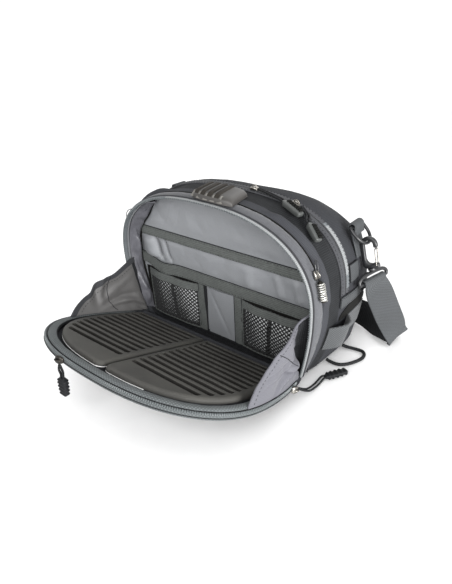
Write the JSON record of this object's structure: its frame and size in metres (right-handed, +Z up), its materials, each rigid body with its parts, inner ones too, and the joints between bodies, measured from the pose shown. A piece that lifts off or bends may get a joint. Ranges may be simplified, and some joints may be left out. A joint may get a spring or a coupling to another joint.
{
  "type": "fishing bag",
  "caption": "Soft D-shaped fishing shoulder bag, front pocket door open on its gussets, with slit foam rig pads, net pockets, corded zip pullers, ribbed grip and a strap on snap hooks.",
  "frame": {"origin": "middle of the bag's base, on the surface that it stands on", "axes": "+X to the bag's right as seen from the front, +Y to the back panel, +Z up"},
  "size_m": [0.4144, 0.4036, 0.2302],
  "materials": {
    "shell": "charcoal woven nylon",
    "lining": "grey satin nylon lining",
    "tape": "mottled loop tape",
    "webbing": "twill webbing",
    "foam": "matt EVA foam, about as light as padding cloth",
    "zip": "coated zip tape",
    "rubber": "moulded rubber",
    "plastic": "moulded black plastic",
    "cord": "braided black cord",
    "metal": "nickel-plated"
  },
  "bodies": {
    "bag": {"front_gusset": "shell", "middle_pocket": "shell", "main_body": "shell", "back_panel": "shell", "front_zip": "zip", "main_zip": "zip", "pocket_wall": "lining", "upper_band": "tape", "pocket_band": "tape", "net_pocket_right": "lining", "net_pocket_left": "lining", "pocket_binding_right": "tape", "pocket_binding_left": "tape", "centre_pocket": "lining", "flap_panel": "shell", "flap_hinge": "shell", "flap_rim": "shell", "flap_zip": "zip", "foam_pad_right": "foam", "foam_pad_left": "foam", "side_gusset_right": "lining", "side_gusset_left": "lining", "handle_grip": "rubber", "top_puller_near_slider": "metal", "top_puller_near_cord": "cord", "top_puller_near_end": "plastic", "top_puller_far_slider": "metal", "top_puller_far_cord": "cord", "top_puller_far_end": "plastic", "flap_puller_left_slider": "metal", "flap_puller_left_cord": "cord", "flap_puller_left_end": "plastic", "flap_puller_right_slider": "metal", "flap_puller_right_cord": "cord", "flap_puller_right_end": "plastic", "snap_hook_right": "plastic", "strap_ring_right": "plastic", "snap_hook_left": "plastic", "side_slider_right": "metal", "side_slider_left": "metal", "side_puller_right": "metal", "side_puller_left": "metal", "ring_tab_right": "webbing", "ring_tab_left": "webbing", "d_ring_right": "plastic", "d_ring_left": "plastic", "side_patch_right": "webbing", "side_patch_left": "webbing", "side_band_right": "webbing", "side_band_left": "webbing", "side_loop_right": "webbing", "side_loop_left": "webbing", "shoulder_strap": "webbing", "bungee_loop": "cord"},
    "gate": {"hook_gate_right": "metal"}
  },
  "joints": [
    {"name": "hook_gate", "type": "hinge", "parent": "bag", "child": "gate", "pos_m": [0.17689, 0.018, 0.14154], "axis": [0, -1, 0], "range_deg": [0, 25], "stiffness_Nm_per_rad": 0.02}
  ]
}
